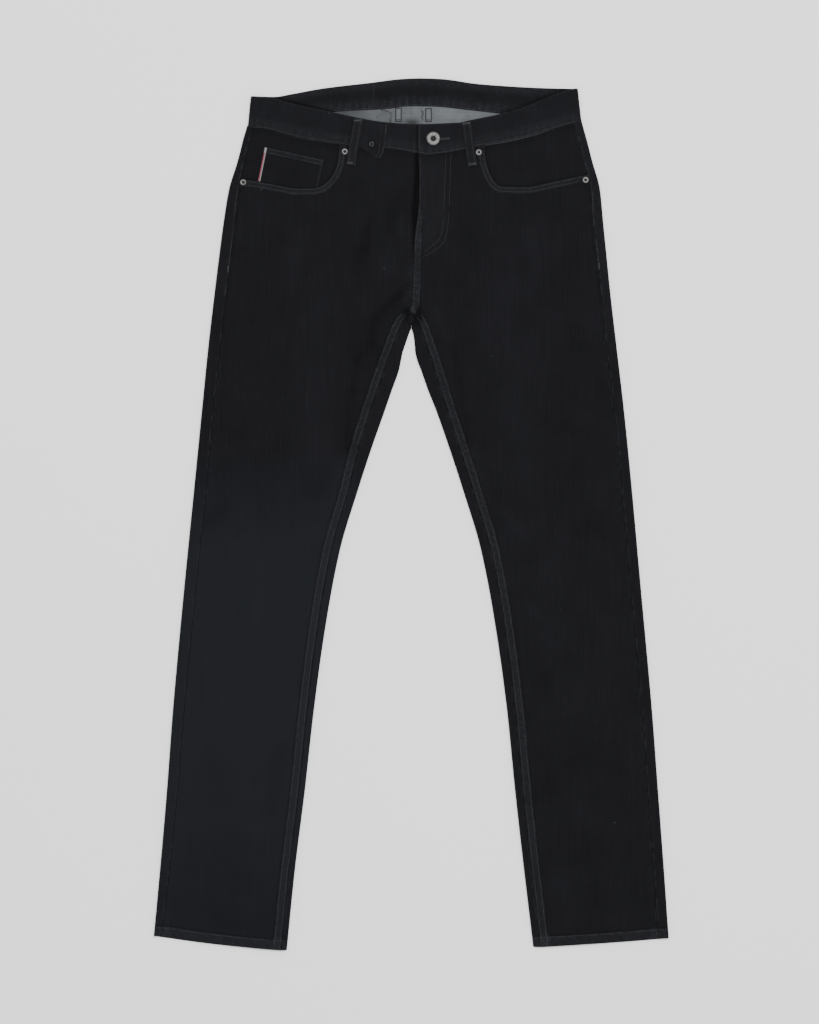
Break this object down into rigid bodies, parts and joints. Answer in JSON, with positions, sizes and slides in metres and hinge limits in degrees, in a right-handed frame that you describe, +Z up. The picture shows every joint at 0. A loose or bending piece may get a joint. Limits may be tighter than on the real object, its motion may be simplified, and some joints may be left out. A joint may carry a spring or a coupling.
{
  "type": "selvedge jeans",
  "caption": "Straight-leg selvedge denim jeans laid flat on their back, with pocket mouths, belt loops, a lapped waistband, rivets and a waist button.",
  "frame": {"origin": "the point on the floor below the centre of the whole garment's box", "axes": "+X to the wearer's left, +Y from the hems to the waist, +Z up from the floor towards the garment's front"},
  "size_m": [0.6529, 1.1041, 0.0123],
  "materials": {
    "denim": "raw near-black indigo twill denim, matt",
    "trim_denim": "near-black denim of loops and tab, matt",
    "grey_tape": "pale grey woven tape",
    "thread": "dark grey sewing thread",
    "selvedge": "white self-edge with a red line",
    "bright_nickel": "satin nickel",
    "dull_nickel": "dull dark nickel"
  },
  "bodies": {
    "root": {"centre_back_loop": "trim_denim", "coin_pocket": "denim", "fly_shield": "denim", "left_back": "denim", "left_back_loop": "trim_denim", "left_back_pocket": "denim", "left_facing": "denim", "left_front": "denim", "left_front_loop": "trim_denim", "left_inner_strip": "grey_tape", "left_mouth_rivet": "bright_nickel", "left_side_rivet": "bright_nickel", "left_yoke": "denim", "right_back": "denim", "right_back_loop": "trim_denim", "right_back_pocket": "denim", "right_facing": "denim", "right_front": "denim", "right_front_loop": "trim_denim", "right_inner_strip": "grey_tape", "right_mouth_rivet": "bright_nickel", "right_side_rivet": "bright_nickel", "right_yoke": "denim", "rivet_tab": "trim_denim", "tab_rivet": "dull_nickel", "waist_button": "bright_nickel", "waistband": "denim"}
  },
  "joints": []
}
